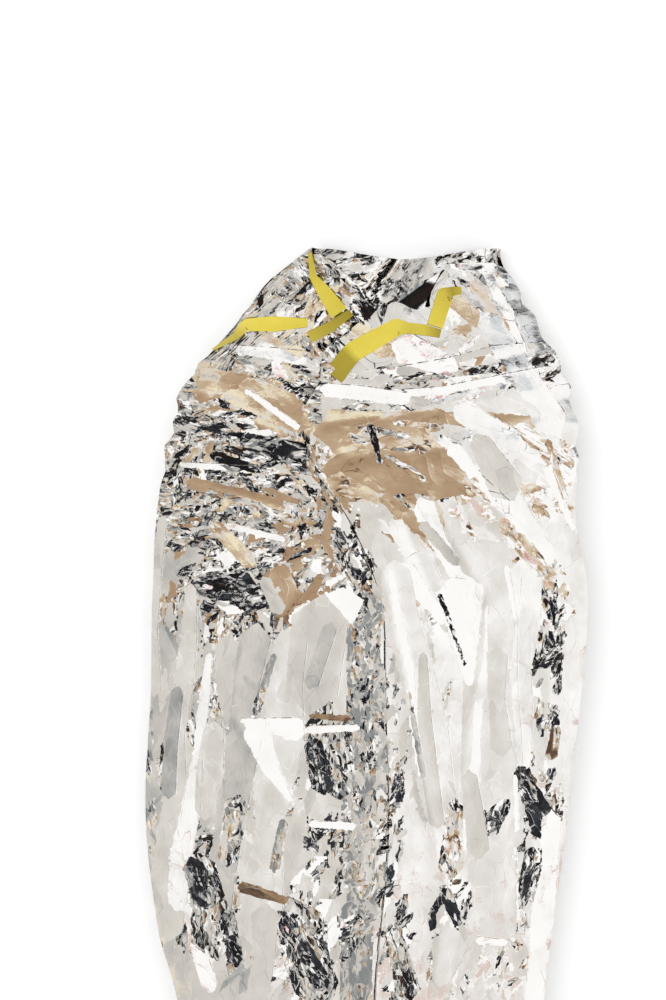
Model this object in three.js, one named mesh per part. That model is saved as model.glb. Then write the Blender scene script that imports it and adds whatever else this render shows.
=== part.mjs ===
// An emergency sleeping bag of silvered film, laid out on its back with its mouth gathered.
// Millimetres, +Z up, +Y towards the mouth. The front is pleated: its right half laps over its
// left half, and the spare width of the back is tucked under at both sides.
import * as THREE from "three";

// Driving sizes.
const bagLength = 2100;
const filmThick = 1; // the film, as thick as a solid sheet has to be
const tapeWide = 19;
const tapeThick = 1;
const tapeLift = 1.3; // from the film's upper face to the tape's middle
const rimHeight = 16; // where the front is sealed to the back
const sealGap = 0.5; // between the faces of the two panels at the sealed rim
const layerPitch = 3.2; // between the middles of pressed layers
const layerSag = 6; // how far the hidden layers of the pleat hang from the one over them
const foot = -bagLength / 2;
const collarStart = bagLength / 2 - 215; // above this the rows bend to the mouth's line
const mouthTop = bagLength / 2 - 8;
const backDip = 12; // how far the back's mouth edge dips between the shoulders
const archPower = 3.4; // 2 would be round, and a larger one is flatter on top

// The outline and the height of the front above the floor, from the mouth to the foot.
const sections = [
  { y: 1050, left: -52, right: 138, crown: 46 },
  { y: 1026, left: -83, right: 148, crown: 52 },
  { y: 997, left: -113, right: 160, crown: 60 },
  { y: 938, left: -156, right: 194, crown: 72 },
  { y: 897, left: -191, right: 215, crown: 80 },
  { y: 835, left: -211, right: 226, crown: 86 },
  { y: 754, left: -227, right: 228, crown: 88 },
  { y: 668, left: -231, right: 239, crown: 84 },
  { y: 549, left: -235, right: 232, crown: 77 },
  { y: 408, left: -239, right: 217, crown: 72 },
  { y: 295, left: -224, right: 201, crown: 68 },
  { y: 225, left: -206, right: 193, crown: 66 },
  { y: 120, left: -195, right: 187, crown: 62 },
  { y: -60, left: -190, right: 184, crown: 59 },
  { y: -400, left: -202, right: 196, crown: 54 },
  { y: -800, left: -226, right: 219, crown: 47 },
  { y: -980, left: -233, right: 227, crown: 40 },
  { y: -1050, left: -231, right: 228, crown: 34 },
];

// The spacing of the front's rows: closest where the gathers are.
const frontSteps = [
  { from: -1050, to: 225, step: 116 },
  { from: 225, to: 620, step: 36 },
  { from: 620, to: 1042, step: 18 },
];
const backSteps = [
  { from: -1050, to: -870, step: 60 },
  { from: -870, to: 225, step: 185 },
  { from: 225, to: 1050, step: 55 },
];

// The folded edge of the right half, which laps over the left half.
const lap = [
  { y: 948, x: -17 },
  { y: 929, x: -45 },
  { y: 894, x: -52 },
  { y: 860, x: -69 },
  { y: 800, x: -56 },
  { y: 763, x: -30 },
  { y: 734, x: -13 },
  { y: 682, x: 8 },
  { y: 640, x: 18 },
  { y: 549, x: 20 },
  { y: 398, x: 23 },
  { y: 225, x: 9 },
  { y: -1050, x: 4 },
];

// The mouth's edge on the left half, over the shoulder to a peak and down beside the neck.
const mouthLeft = [
  { x: -157, y: 940 },
  { x: -132, y: 981 },
  { x: -113, y: 997 },
  { x: -83, y: 1026 },
  { x: -62, y: 1042 },
  { x: -40, y: 1026 },
  { x: -21, y: 1011 },
  { x: 2, y: 982 },
  { x: 34, y: 952 },
  { x: 150, y: 925 },
];

// The mouth's edge on the right half, under the chin and up beside the neck.
const mouthRight = [
  { x: -24, y: 944 },
  { x: 1, y: 964 },
  { x: 28, y: 981 },
  { x: 64, y: 974 },
  { x: 72, y: 1000 },
  { x: 88, y: 1022 },
  { x: 120, y: 1027 },
  { x: 149, y: 1022 },
];

// Ridges (high above 0) and troughs of the front, each from one end to the other.
const folds = [
  { name: "left_gather_1", x0: -193, y0: 893, x1: -70, y1: 820, high: 12, wide: 20 },
  { name: "left_hollow_1", x0: -164, y0: 838, x1: -72, y1: 796, high: -9, wide: 19 },
  { name: "left_gather_2", x0: -212, y0: 812, x1: -62, y1: 770, high: 14, wide: 21 },
  { name: "left_hollow_2", x0: -160, y0: 780, x1: -72, y1: 754, high: -9, wide: 17 },
  { name: "left_gather_3", x0: -222, y0: 764, x1: -84, y1: 742, high: 13, wide: 20 },
  { name: "left_slant", x0: -153, y0: 670, x1: -78, y1: 730, high: 9, wide: 20 },
  { name: "left_kite_1", x0: -114, y0: 700, x1: -91, y1: 642, high: 9, wide: 18 },
  { name: "left_kite_2", x0: -91, y0: 642, x1: -52, y1: 708, high: 9, wide: 18 },
  { name: "left_point", x0: -141, y0: 532, x1: -80, y1: 429, high: 10, wide: 22 },
  { name: "left_length_1", x0: -130, y0: 634, x1: -190, y1: 300, high: 8, wide: 24 },
  { name: "left_length_2", x0: -71, y0: 640, x1: -150, y1: 262, high: -7, wide: 22 },
  { name: "left_length_3", x0: -20, y0: 640, x1: -106, y1: 232, high: 8, wide: 22 },
  { name: "left_bundle_1", x0: 0, y0: 400, x1: -60, y1: 180, high: 8, wide: 17 },
  { name: "left_bundle_2", x0: -26, y0: 330, x1: -80, y1: 150, high: -7, wide: 16 },
  { name: "right_hollow_1", x0: 30, y0: 892, x1: 190, y1: 930, high: -9, wide: 18 },
  { name: "right_gather_1", x0: -43, y0: 850, x1: 60, y1: 862, high: 11, wide: 20 },
  { name: "right_gather_2", x0: 60, y0: 862, x1: 190, y1: 886, high: 13, wide: 21 },
  { name: "right_hollow_2", x0: 70, y0: 838, x1: 200, y1: 860, high: -8, wide: 18 },
  { name: "right_gather_3", x0: -20, y0: 812, x1: 163, y1: 830, high: 10, wide: 21 },
  { name: "right_slant_1", x0: 25, y0: 844, x1: 130, y1: 658, high: 9, wide: 20 },
  { name: "right_slant_2", x0: 116, y0: 783, x1: 205, y1: 687, high: 9, wide: 20 },
  { name: "right_slant_3", x0: 43, y0: 733, x1: 112, y1: 560, high: -9, wide: 18 },
  { name: "right_pleat", x0: 18, y0: 684, x1: 80, y1: 369, high: 10, wide: 19 },
  { name: "right_length_1", x0: 127, y0: 654, x1: 72, y1: 248, high: 8, wide: 22 },
  { name: "right_length_2", x0: 161, y0: 642, x1: 158, y1: 227, high: -8, wide: 22 },
  { name: "right_length_3", x0: 200, y0: 681, x1: 196, y1: 430, high: 7, wide: 20 },
  { name: "left_foot_1", x0: -130, y0: 180, x1: -150, y1: -860, high: 8, wide: 34 },
  { name: "left_foot_2", x0: -66, y0: 160, x1: -78, y1: -880, high: -7, wide: 34 },
  { name: "right_foot_1", x0: 72, y0: 200, x1: 76, y1: -880, high: -7, wide: 30 },
  { name: "right_foot_2", x0: 130, y0: 200, x1: 148, y1: -860, high: 8, wide: 32 },
];

// The tape's runs along the gathered mouth, as they lie on the film, each along its middle.
const tapeRuns = [
  {
    name: "tape_left_shoulder",
    lift: 0,
    path: [
      { x: -141, y: 948 },
      { x: -128, y: 957 },
      { x: -72, y: 955 },
    ],
  },
  {
    name: "tape_left_lower",
    lift: 0,
    path: [
      { x: -60, y: 934 },
      { x: -30, y: 962 },
    ],
  },
  {
    name: "tape_left_neck",
    lift: 2.2,
    path: [
      { x: -31, y: 956 },
      { x: -45, y: 990 },
      { x: -58, y: 1022 },
    ],
  },
  {
    name: "tape_right",
    lift: 0,
    path: [
      { x: -42, y: 896 },
      { x: -24, y: 927 },
      { x: 31, y: 955 },
      { x: 66, y: 949 },
    ],
  },
  {
    name: "tape_right_neck",
    lift: 2.2,
    path: [
      { x: 72, y: 950 },
      { x: 84, y: 992 },
    ],
  },
];

const clamp = THREE.MathUtils.clamp;
const lerp = THREE.MathUtils.lerp;
const ease = THREE.MathUtils.smoothstep;

// The value of a table's column at a place on another column, on a smooth line through its rows.
function track(table, along, column, at) {
  const rows = [...table].sort((a, b) => a[along] - b[along]);
  const place = clamp(at, rows[0][along], rows.at(-1)[along]);
  const next = Math.max(1, rows.findIndex((row) => row[along] >= place));
  const [a, b] = [rows[next - 1], rows[next]];
  const slopeAt = (i) => {
    const [lo, hi] = [rows[Math.max(0, i - 1)], rows[Math.min(rows.length - 1, i + 1)]];
    return (hi[column] - lo[column]) / (hi[along] - lo[along]);
  };
  const span = b[along] - a[along];
  const t = (place - a[along]) / span;
  const [m0, m1] = [slopeAt(next - 1) * span, slopeAt(next) * span];
  const [t2, t3] = [t * t, t * t * t];
  return (
    (2 * t3 - 3 * t2 + 1) * a[column] +
    (t3 - 2 * t2 + t) * m0 +
    (3 * t2 - 2 * t3) * b[column] +
    (t3 - t2) * m1
  );
}

const leftEdge = (y) => track(sections, "y", "left", y);
const rightEdge = (y) => track(sections, "y", "right", y);
const crownAt = (y) => track(sections, "y", "crown", y);
const lapEdge = (y) => track(lap, "y", "x", y);
const leftMouth = (x) => track(mouthLeft, "x", "y", x);
const rightMouth = (x) => track(mouthRight, "x", "y", x);

// How far the closed foot has opened out, from 0 at the foot to 1 in the body.
const openAt = (y) => ease(y, foot, foot + 160);

// How much room there is between the layers, from 0 where they are pressed flat to 1 in the body.
const roomAt = (y) => openAt(y) * ease(crownAt(y), 24, 60);

// Heights of the back's layers' middles, and of the two rims.
const floorLayer = filmThick / 2;
const thirdLayer = floorLayer + 2 * layerPitch;
const backRim = (y) => lerp(thirdLayer + 1, rimHeight - filmThick - sealGap, openAt(y));
const frontRim = (y) => backRim(y) + filmThick + sealGap;

// Where the left half runs under the right half, and how far.
const hiddenEdge = (y) => lapEdge(y) + 0.62 * (rightEdge(y) - lapEdge(y));

// The front's height with no folds: a flat-topped arch from rim to rim, pressed flat at the foot.
function archHeight(x, y) {
  const [left, right] = [leftEdge(y), rightEdge(y)];
  const t = clamp(Math.abs(2 * x - left - right) / (right - left), 0, 1);
  const arch = frontRim(y) + (crownAt(y) - frontRim(y)) * Math.sqrt(1 - t ** archPower);
  const doubled = ease(x, lapEdge(y) - 30, lapEdge(y)) * (1 - ease(x, hiddenEdge(y), right - 8));
  const pressed = frontRim(y) + 2 * layerPitch * doubled;
  return lerp(pressed, arch, openAt(y));
}

// What the ridges and troughs add to it. They die out at their ends and at the rims.
function foldHeight(x, y) {
  let sum = 0;
  for (const f of folds) {
    const [dx, dy] = [f.x1 - f.x0, f.y1 - f.y0];
    const t = clamp(((x - f.x0) * dx + (y - f.y0) * dy) / (dx * dx + dy * dy), 0, 1);
    const away = Math.hypot(x - f.x0 - t * dx, y - f.y0 - t * dy) / f.wide;
    if (away < 1) sum += f.high * (1 - away) ** 1.4;
  }
  const fromRim = Math.min(x - leftEdge(y), rightEdge(y) - x);
  return sum * ease(fromRim, 0, 30) * roomAt(y);
}

// A column's place on a row: its own place across, then up to the mouth's line there.
function placed(rowY, mouthLine, across) {
  let [x, y] = [across(rowY), rowY];
  for (let turn = 0; turn < 4; turn++) {
    const reach = (mouthLine(x) - collarStart) / (mouthTop - collarStart);
    y = rowY > collarStart ? collarStart + (rowY - collarStart) * reach : rowY;
    x = across(y);
  }
  return { x, y };
}

// The front from the left rim, under the lap, back to its folded edge and out to the right rim.
function frontRow(rowY) {
  const row = [];
  const add = (mouthLine, across, height) => {
    const { x, y } = placed(rowY, mouthLine, across);
    row.push(new THREE.Vector3(x, y, height(x, y)));
  };
  const under = (x, y, drop) => {
    const near = 1 - ease(x, lapEdge(y), lapEdge(y) + 40);
    return archHeight(x, y) + foldHeight(x, y) * near - drop;
  };
  const midDrop = (x, y) => {
    const deep = ease(x, lapEdge(y), lapEdge(y) + 45) * roomAt(y);
    return lerp(layerPitch, layerSag, deep);
  };
  const lowDrop = (x, y) => {
    const pressed = 2 * layerPitch * ease(x, lapEdge(y) - 30, lapEdge(y));
    return pressed + ease(x, lapEdge(y) - 20, lapEdge(y) + 45) * roomAt(y) * layerSag;
  };
  // The left half, closer together at the rim and where it goes under the lap.
  for (const s of [0, 0.015, 0.06, 0.14, 0.25, 0.37, 0.49, 0.61, 0.73, 0.85, 0.94, 1]) {
    add(leftMouth, (y) => lerp(leftEdge(y), lapEdge(y) - 3, s), (x, y) => under(x, y, lowDrop(x, y)));
  }
  for (const step of [22, 50]) {
    add(leftMouth, (y) => lapEdge(y) + step, (x, y) => under(x, y, lowDrop(x, y)));
  }
  add(leftMouth, hiddenEdge, (x, y) => under(x, y, lowDrop(x, y)));
  // The turn, and the middle layer back to the folded edge.
  const turnDrop = (x, y) => (lowDrop(x, y) + midDrop(x, y)) / 2;
  add(rightMouth, (y) => hiddenEdge(y) + 2.4, (x, y) => under(x, y, turnDrop(x, y)));
  add(rightMouth, hiddenEdge, (x, y) => under(x, y, midDrop(x, y)));
  for (const step of [50, 22, 4]) {
    add(rightMouth, (y) => lapEdge(y) + step, (x, y) => under(x, y, midDrop(x, y)));
  }
  // The folded edge and the right half over it.
  const over = (x, y) => archHeight(x, y) + foldHeight(x, y);
  add(rightMouth, (y) => lapEdge(y) + 1.6, (x, y) => over(x, y) - layerPitch / 2);
  for (const step of [4, 22]) add(rightMouth, (y) => lapEdge(y) + step, over);
  for (const s of [0.24, 0.37, 0.5, 0.62, 0.74, 0.85, 0.94, 0.985, 1]) {
    add(rightMouth, (y) => lerp(lapEdge(y), rightEdge(y), s), over);
  }
  return row;
}

// The back from rim to rim: down to the floor, tucked under and out again, then across, where it
// sags to the floor between the tucks.
function backRow(rowY) {
  const [left, right] = [leftEdge(rowY), rightEdge(rowY)];
  const half = (right - left) / 2;
  const tuck = Math.min(112, 0.72 * half);
  const secondLayer = floorLayer + layerPitch;
  const rim = backRim(rowY);
  const sag = lerp(thirdLayer, floorLayer, openAt(rowY));
  const points = [
    { in: 0, z: rim },
    { in: 1.5, z: rim * 0.6 },
    { in: 5, z: rim * 0.24 },
    { in: 12, z: floorLayer },
    { in: tuck, z: floorLayer },
    { in: tuck + 1.8, z: (floorLayer + secondLayer) / 2 },
    { in: tuck, z: secondLayer },
    { in: 17, z: secondLayer },
    { in: 15.2, z: (secondLayer + thirdLayer) / 2 },
    { in: 17, z: thirdLayer },
    { in: tuck + 6, z: thirdLayer },
    { in: lerp(tuck + 6, half, 0.7), z: sag },
  ];
  const dip = backDip * ease(rowY, 900, bagLength / 2);
  const point = (x, z) => {
    const share = clamp((x - left) / (right - left), 0, 1);
    return new THREE.Vector3(x, rowY - dip * Math.sin(Math.PI * share) ** 2, z);
  };
  return [
    ...points.map((p) => point(left + p.in, p.z)),
    ...points.toReversed().map((p) => point(right - p.in, p.z)),
  ];
}

// A sheet of a given thickness about a grid of points, closed round its edges.
function sheetGeometry(rows, thick) {
  const [high, wide] = [rows.length, rows[0].length];
  const corners = [];
  for (const side of [1, -1]) {
    rows.forEach((row, i) =>
      row.forEach((p, j) => {
        const along = rows[Math.min(high - 1, i + 1)][j].clone().sub(rows[Math.max(0, i - 1)][j]);
        const across = row[Math.min(wide - 1, j + 1)].clone().sub(row[Math.max(0, j - 1)]);
        const normal = across.cross(along).normalize();
        corners.push(p.clone().addScaledVector(normal, (side * thick) / 2));
      }),
    );
  }
  const faces = [];
  const quad = (a, b, c, d) => faces.push(a, b, c, a, c, d);
  const at = (i, j) => i * wide + j;
  const under = high * wide;
  for (let i = 0; i < high - 1; i++) {
    for (let j = 0; j < wide - 1; j++) {
      const [a, b, c, d] = [at(i, j), at(i, j + 1), at(i + 1, j + 1), at(i + 1, j)];
      quad(a, b, c, d);
      // The lower face is cut along the same diagonal, so the two stay parallel where they twist.
      quad(a + under, d + under, c + under, b + under);
    }
  }
  for (let j = 0; j < wide - 1; j++) {
    quad(at(0, j), at(0, j) + under, at(0, j + 1) + under, at(0, j + 1));
    const [a, b] = [at(high - 1, j), at(high - 1, j + 1)];
    quad(b, b + under, a + under, a);
  }
  for (let i = 0; i < high - 1; i++) {
    quad(at(i + 1, 0), at(i + 1, 0) + under, at(i, 0) + under, at(i, 0));
    const [a, b] = [at(i, wide - 1), at(i + 1, wide - 1)];
    quad(a, a + under, b + under, b);
  }
  const geometry = new THREE.BufferGeometry().setFromPoints(corners);
  geometry.setIndex(faces);
  geometry.computeVertexNormals();
  return geometry;
}

// The rows' places along the bag, from the foot to the mouth.
function rowPlaces(steps) {
  const places = [steps[0].from];
  for (const part of steps) {
    const count = Math.round((part.to - part.from) / part.step);
    for (let i = 1; i <= count; i++) places.push(lerp(part.from, part.to, i / count));
  }
  return places;
}

const film = new THREE.MeshStandardMaterial({ color: 0xd8d8d6, roughness: 0.12, metalness: 1 });
const yellow = new THREE.MeshStandardMaterial({ color: 0xdcc832, roughness: 0.55, metalness: 0 });

function piece(name, geometry, material) {
  const mesh = new THREE.Mesh(geometry, material);
  mesh.name = name;
  return mesh;
}

function frontPanel() {
  const rows = rowPlaces(frontSteps).map(frontRow);
  return piece("front_panel", sheetGeometry(rows, filmThick), film);
}

function backPanel() {
  const rows = rowPlaces(backSteps).map(backRow);
  return piece("back_panel", sheetGeometry(rows, filmThick), film);
}

// One run of tape on the front's upper face, mitred where its path turns.
function tapeRun(run, front) {
  const down = new THREE.Raycaster();
  const topAt = (x, y) => {
    down.set(new THREE.Vector3(x, y, 400), new THREE.Vector3(0, 0, -1));
    const hit = down.intersectObject(front)[0];
    return hit ? hit.point.z : 0;
  };
  // The highest place of the film round a point, so that the tape clears the film's own edges.
  const filmTop = (x, y) => {
    const around = [[0, 0], [4, 0], [-4, 0], [0, 4], [0, -4], [3, 3], [3, -3], [-3, 3], [-3, -3]];
    return Math.max(...around.map(([dx, dy]) => topAt(x + dx, y + dy)));
  };
  const corners = run.path.map((p) => new THREE.Vector2(p.x, p.y));
  const sideAt = (k) => {
    const before = corners[k].clone().sub(corners[Math.max(0, k - 1)]).normalize();
    const after = corners[Math.min(corners.length - 1, k + 1)].clone().sub(corners[k]).normalize();
    const way = before.clone().add(after).normalize();
    const stretch = 1 / Math.max(0.5, Math.abs(way.dot(k ? before : after)));
    return new THREE.Vector2(-way.y, way.x).multiplyScalar((stretch * tapeWide) / 2);
  };
  const rows = [];
  for (let k = 0; k < corners.length - 1; k++) {
    const steps = Math.ceil(corners[k].distanceTo(corners[k + 1]) / 7);
    for (let i = k ? 1 : 0; i <= steps; i++) {
      const middle = corners[k].clone().lerp(corners[k + 1], i / steps);
      const side = sideAt(k).lerp(sideAt(k + 1), i / steps);
      rows.push(
        [-1, -0.5, 0, 0.5, 1].map((share) => {
          const p = middle.clone().addScaledVector(side, -share);
          return new THREE.Vector3(p.x, p.y, filmTop(p.x, p.y) + tapeLift + run.lift);
        }),
      );
    }
  }
  return piece(run.name, sheetGeometry(rows, tapeThick), yellow);
}

const bag = new THREE.Group();
bag.name = "emergency_sleeping_bag";
const front = frontPanel();
bag.add(backPanel(), front);
for (const run of tapeRuns) bag.add(tapeRun(run, front));

// The bag's frame: the middle of its outline, on the floor.
const box = new THREE.Box3().setFromObject(bag);
const middle = box.getCenter(new THREE.Vector3());
bag.position.set(-middle.x, -middle.y, -box.min.z);

export default bag;
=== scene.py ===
import bpy
import bmesh
import math
import numpy as np
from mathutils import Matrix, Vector, geometry


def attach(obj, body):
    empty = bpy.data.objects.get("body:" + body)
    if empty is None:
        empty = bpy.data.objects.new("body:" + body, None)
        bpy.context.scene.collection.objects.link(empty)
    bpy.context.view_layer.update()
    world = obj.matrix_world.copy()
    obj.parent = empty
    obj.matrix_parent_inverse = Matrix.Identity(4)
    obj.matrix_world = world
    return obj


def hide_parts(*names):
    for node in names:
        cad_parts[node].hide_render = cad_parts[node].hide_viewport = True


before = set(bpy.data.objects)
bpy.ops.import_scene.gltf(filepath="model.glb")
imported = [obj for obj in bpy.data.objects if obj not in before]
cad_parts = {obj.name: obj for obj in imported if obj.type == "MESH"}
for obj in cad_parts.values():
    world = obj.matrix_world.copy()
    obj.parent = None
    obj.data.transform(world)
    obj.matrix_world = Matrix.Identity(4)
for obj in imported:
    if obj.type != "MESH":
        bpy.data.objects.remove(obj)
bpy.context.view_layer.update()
mm = 0.001


def linear(hexColour):
    parts = [int(hexColour[k:k + 2], 16) / 255 for k in (1, 3, 5)]
    return [c / 12.92 if c <= 0.04045 else ((c + 0.055) / 1.055) ** 2.4 for c in parts] + [1.0]


def addNode(tree, kind, settings=None, links=None, **values):
    node = tree.nodes.new(kind)
    for name, value in (settings or {}).items():
        setattr(node, name, value)
    for name, value in values.items():
        key = int(name[1:]) if name[0] == "_" and name[1:].isdigit() else name.replace("_", " ")
        node.inputs[key].default_value = value
    for name, source in (links or {}).items():
        tree.links.new(source, node.inputs[name])
    return node


def ease(x, low, high):
    t = np.clip((x - low) / (high - low), 0, 1)
    return t * t * (3 - 2 * t)


def mix(a, b, t):
    return a + (b - a) * t


def smoothLine(rows, along, column, at):
    table = sorted(rows, key=lambda row: row[along])
    place = np.array([row[along] for row in table], float)
    value = np.array([row[column] for row in table], float)
    slope = np.gradient(value)
    slope[1:-1] = (value[2:] - value[:-2]) / (place[2:] - place[:-2])
    slope[0] = (value[1] - value[0]) / (place[1] - place[0])
    slope[-1] = (value[-1] - value[-2]) / (place[-1] - place[-2])
    q = np.clip(at, place[0], place[-1])
    k = np.clip(np.searchsorted(place, q), 1, len(place) - 1)
    span = place[k] - place[k - 1]
    t = (q - place[k - 1]) / span
    return ((2 * t**3 - 3 * t**2 + 1) * value[k - 1] + (t**3 - 2 * t**2 + t) * slope[k - 1] * span
            + (3 * t**2 - 2 * t**3) * value[k] + (t**3 - t**2) * slope[k] * span)


# The bag's own sizes in millimetres, as its solids have them.
bag = {
    "foot": -1050, "mouthTop": 1042, "collarStart": 835, "backDip": 12,
    "rim": 16, "seal": 1.5, "layerPitch": 3.2, "layerSag": 6, "archPower": 3.4,
}

sections = [
    {"y": 1050, "left": -52, "right": 138, "crown": 46},
    {"y": 1026, "left": -83, "right": 148, "crown": 52},
    {"y": 997, "left": -113, "right": 160, "crown": 60},
    {"y": 938, "left": -156, "right": 194, "crown": 72},
    {"y": 897, "left": -191, "right": 215, "crown": 80},
    {"y": 835, "left": -211, "right": 226, "crown": 86},
    {"y": 754, "left": -227, "right": 228, "crown": 88},
    {"y": 668, "left": -231, "right": 239, "crown": 84},
    {"y": 549, "left": -235, "right": 232, "crown": 77},
    {"y": 408, "left": -239, "right": 217, "crown": 72},
    {"y": 295, "left": -224, "right": 201, "crown": 68},
    {"y": 225, "left": -206, "right": 193, "crown": 66},
    {"y": 120, "left": -195, "right": 187, "crown": 62},
    {"y": -60, "left": -190, "right": 184, "crown": 59},
    {"y": -400, "left": -202, "right": 196, "crown": 54},
    {"y": -800, "left": -226, "right": 219, "crown": 47},
    {"y": -980, "left": -233, "right": 227, "crown": 40},
    {"y": -1050, "left": -231, "right": 228, "crown": 34},
]

lap = [
    {"y": 948, "x": -17}, {"y": 929, "x": -45}, {"y": 894, "x": -52}, {"y": 860, "x": -69},
    {"y": 800, "x": -56}, {"y": 763, "x": -30}, {"y": 734, "x": -13}, {"y": 682, "x": 8},
    {"y": 640, "x": 18}, {"y": 549, "x": 20}, {"y": 398, "x": 23}, {"y": 225, "x": 9},
    {"y": -1050, "x": 4},
]

mouthLeft = [
    {"x": -157, "y": 940}, {"x": -132, "y": 981}, {"x": -113, "y": 997}, {"x": -83, "y": 1026},
    {"x": -62, "y": 1042}, {"x": -40, "y": 1026}, {"x": -21, "y": 1011}, {"x": 2, "y": 982},
    {"x": 34, "y": 952}, {"x": 150, "y": 925},
]

mouthRight = [
    {"x": -24, "y": 944}, {"x": 1, "y": 964}, {"x": 28, "y": 981}, {"x": 64, "y": 974},
    {"x": 72, "y": 1000}, {"x": 88, "y": 1022}, {"x": 120, "y": 1027}, {"x": 149, "y": 1022},
]

# Ridges and hollows of the gathered front: from, to, height and half width.
folds = [
    {"name": "leftGather1", "x0": -193, "y0": 893, "x1": -70, "y1": 820, "high": 9, "wide": 16},
    {"name": "leftHollow1", "x0": -164, "y0": 838, "x1": -72, "y1": 796, "high": -6, "wide": 15},
    {"name": "leftGather2", "x0": -212, "y0": 812, "x1": -62, "y1": 770, "high": 10, "wide": 16},
    {"name": "leftHollow2", "x0": -160, "y0": 780, "x1": -72, "y1": 754, "high": -6, "wide": 14},
    {"name": "leftGather3", "x0": -222, "y0": 764, "x1": -84, "y1": 742, "high": 9, "wide": 16},
    {"name": "leftSlant", "x0": -153, "y0": 670, "x1": -78, "y1": 730, "high": 7, "wide": 16},
    {"name": "leftKite1", "x0": -114, "y0": 700, "x1": -91, "y1": 642, "high": 7, "wide": 16},
    {"name": "leftKite2", "x0": -91, "y0": 642, "x1": -52, "y1": 708, "high": 7, "wide": 16},
    {"name": "leftPoint", "x0": -141, "y0": 532, "x1": -80, "y1": 429, "high": 8, "wide": 18},
    {"name": "leftLength1", "x0": -130, "y0": 634, "x1": -190, "y1": 300, "high": 5, "wide": 22},
    {"name": "leftLength2", "x0": -71, "y0": 640, "x1": -150, "y1": 262, "high": -4, "wide": 22},
    {"name": "leftLength3", "x0": -20, "y0": 640, "x1": -106, "y1": 232, "high": 5, "wide": 22},
    {"name": "leftBundle1", "x0": 0, "y0": 400, "x1": -60, "y1": 180, "high": 6, "wide": 14},
    {"name": "leftBundle2", "x0": -26, "y0": 330, "x1": -80, "y1": 150, "high": -5, "wide": 14},
    {"name": "rightHollow1", "x0": 30, "y0": 892, "x1": 190, "y1": 930, "high": -6, "wide": 12},
    {"name": "rightGather1", "x0": -43, "y0": 850, "x1": 60, "y1": 862, "high": 7, "wide": 14},
    {"name": "rightGather2", "x0": 60, "y0": 862, "x1": 190, "y1": 886, "high": 8, "wide": 14},
    {"name": "rightHollow2", "x0": 70, "y0": 838, "x1": 200, "y1": 860, "high": -5, "wide": 14},
    {"name": "rightGather3", "x0": -20, "y0": 812, "x1": 163, "y1": 830, "high": 7, "wide": 16},
    {"name": "rightSlant1", "x0": 25, "y0": 844, "x1": 130, "y1": 658, "high": 7, "wide": 16},
    {"name": "rightSlant2", "x0": 116, "y0": 783, "x1": 205, "y1": 687, "high": 7, "wide": 16},
    {"name": "rightSlant3", "x0": 43, "y0": 733, "x1": 112, "y1": 560, "high": -6, "wide": 14},
    {"name": "rightPleat", "x0": 18, "y0": 684, "x1": 80, "y1": 369, "high": 8, "wide": 15},
    {"name": "rightLength1", "x0": 127, "y0": 654, "x1": 72, "y1": 248, "high": 6, "wide": 20},
    {"name": "rightLength2", "x0": 161, "y0": 642, "x1": 158, "y1": 227, "high": -5, "wide": 20},
    {"name": "rightLength3", "x0": 200, "y0": 681, "x1": 196, "y1": 430, "high": 5, "wide": 18},
    {"name": "leftFoot1", "x0": -130, "y0": 180, "x1": -150, "y1": -860, "high": 6, "wide": 32},
    {"name": "leftFoot2", "x0": -66, "y0": 160, "x1": -78, "y1": -880, "high": -6, "wide": 32},
    {"name": "rightFoot1", "x0": 72, "y0": 200, "x1": 76, "y1": -880, "high": -6, "wide": 28},
    {"name": "rightFoot2", "x0": 130, "y0": 200, "x1": 148, "y1": -860, "high": 6, "wide": 30},
]


# The edges are crumpled: how far they stand out, most where the film is gathered.
ragged = {"near": 13, "far": 90, "gatheredFrom": 780, "most": 9, "least": 4}


def raggedBy(seed, y):
    pick = np.random.default_rng(seed)
    near, far = (np.arange(bag["foot"] - 100, 1150, ragged[key]) for key in ("near", "far"))
    small = np.interp(y, near, pick.uniform(0, ragged["most"], len(near)))
    large = np.interp(y, far, pick.uniform(0, ragged["least"], len(far)))
    return np.where(np.asarray(y) > ragged["gatheredFrom"], small, large)


def leftEdge(y):
    return smoothLine(sections, "y", "left", y) - raggedBy(21, y)


def rightEdge(y):
    return smoothLine(sections, "y", "right", y) + raggedBy(22, y)


def lapEdge(y):
    return smoothLine(lap, "y", "x", y)


def openAt(y):
    return ease(y, bag["foot"], bag["foot"] + 160)


def roomAt(y):
    return openAt(y) * ease(smoothLine(sections, "y", "crown", y), 24, 60)


def backRim(y):
    return mix(7.9, bag["rim"] - bag["seal"], openAt(y))


def hiddenEdge(y):
    return lapEdge(y) + 0.62 * (rightEdge(y) - lapEdge(y))


def archHeight(x, y):
    left, right, rim = leftEdge(y), rightEdge(y), backRim(y) + bag["seal"]
    t = np.clip(np.abs(2 * x - left - right) / (right - left), 0, 1)
    crown = smoothLine(sections, "y", "crown", y)
    arch = rim + (crown - rim) * np.sqrt(1 - t ** bag["archPower"])
    doubled = ease(x, lapEdge(y) - 30, lapEdge(y)) * (1 - ease(x, hiddenEdge(y), right - 8))
    return mix(rim + 2 * bag["layerPitch"] * doubled, arch, openAt(y))


def foldHeight(x, y):
    total = np.zeros(np.shape(x + y))
    for f in folds:
        dx, dy = f["x1"] - f["x0"], f["y1"] - f["y0"]
        t = np.clip(((x - f["x0"]) * dx + (y - f["y0"]) * dy) / (dx * dx + dy * dy), 0, 1)
        away = np.hypot(x - f["x0"] - t * dx, y - f["y0"] - t * dy) / f["wide"]
        total = total + f["high"] * np.clip(1 - away, 0, 1) ** 1.4
    fromRim = np.minimum(x - leftEdge(y), rightEdge(y) - x)
    return total * ease(fromRim, 0, 30) * roomAt(y)


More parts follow.
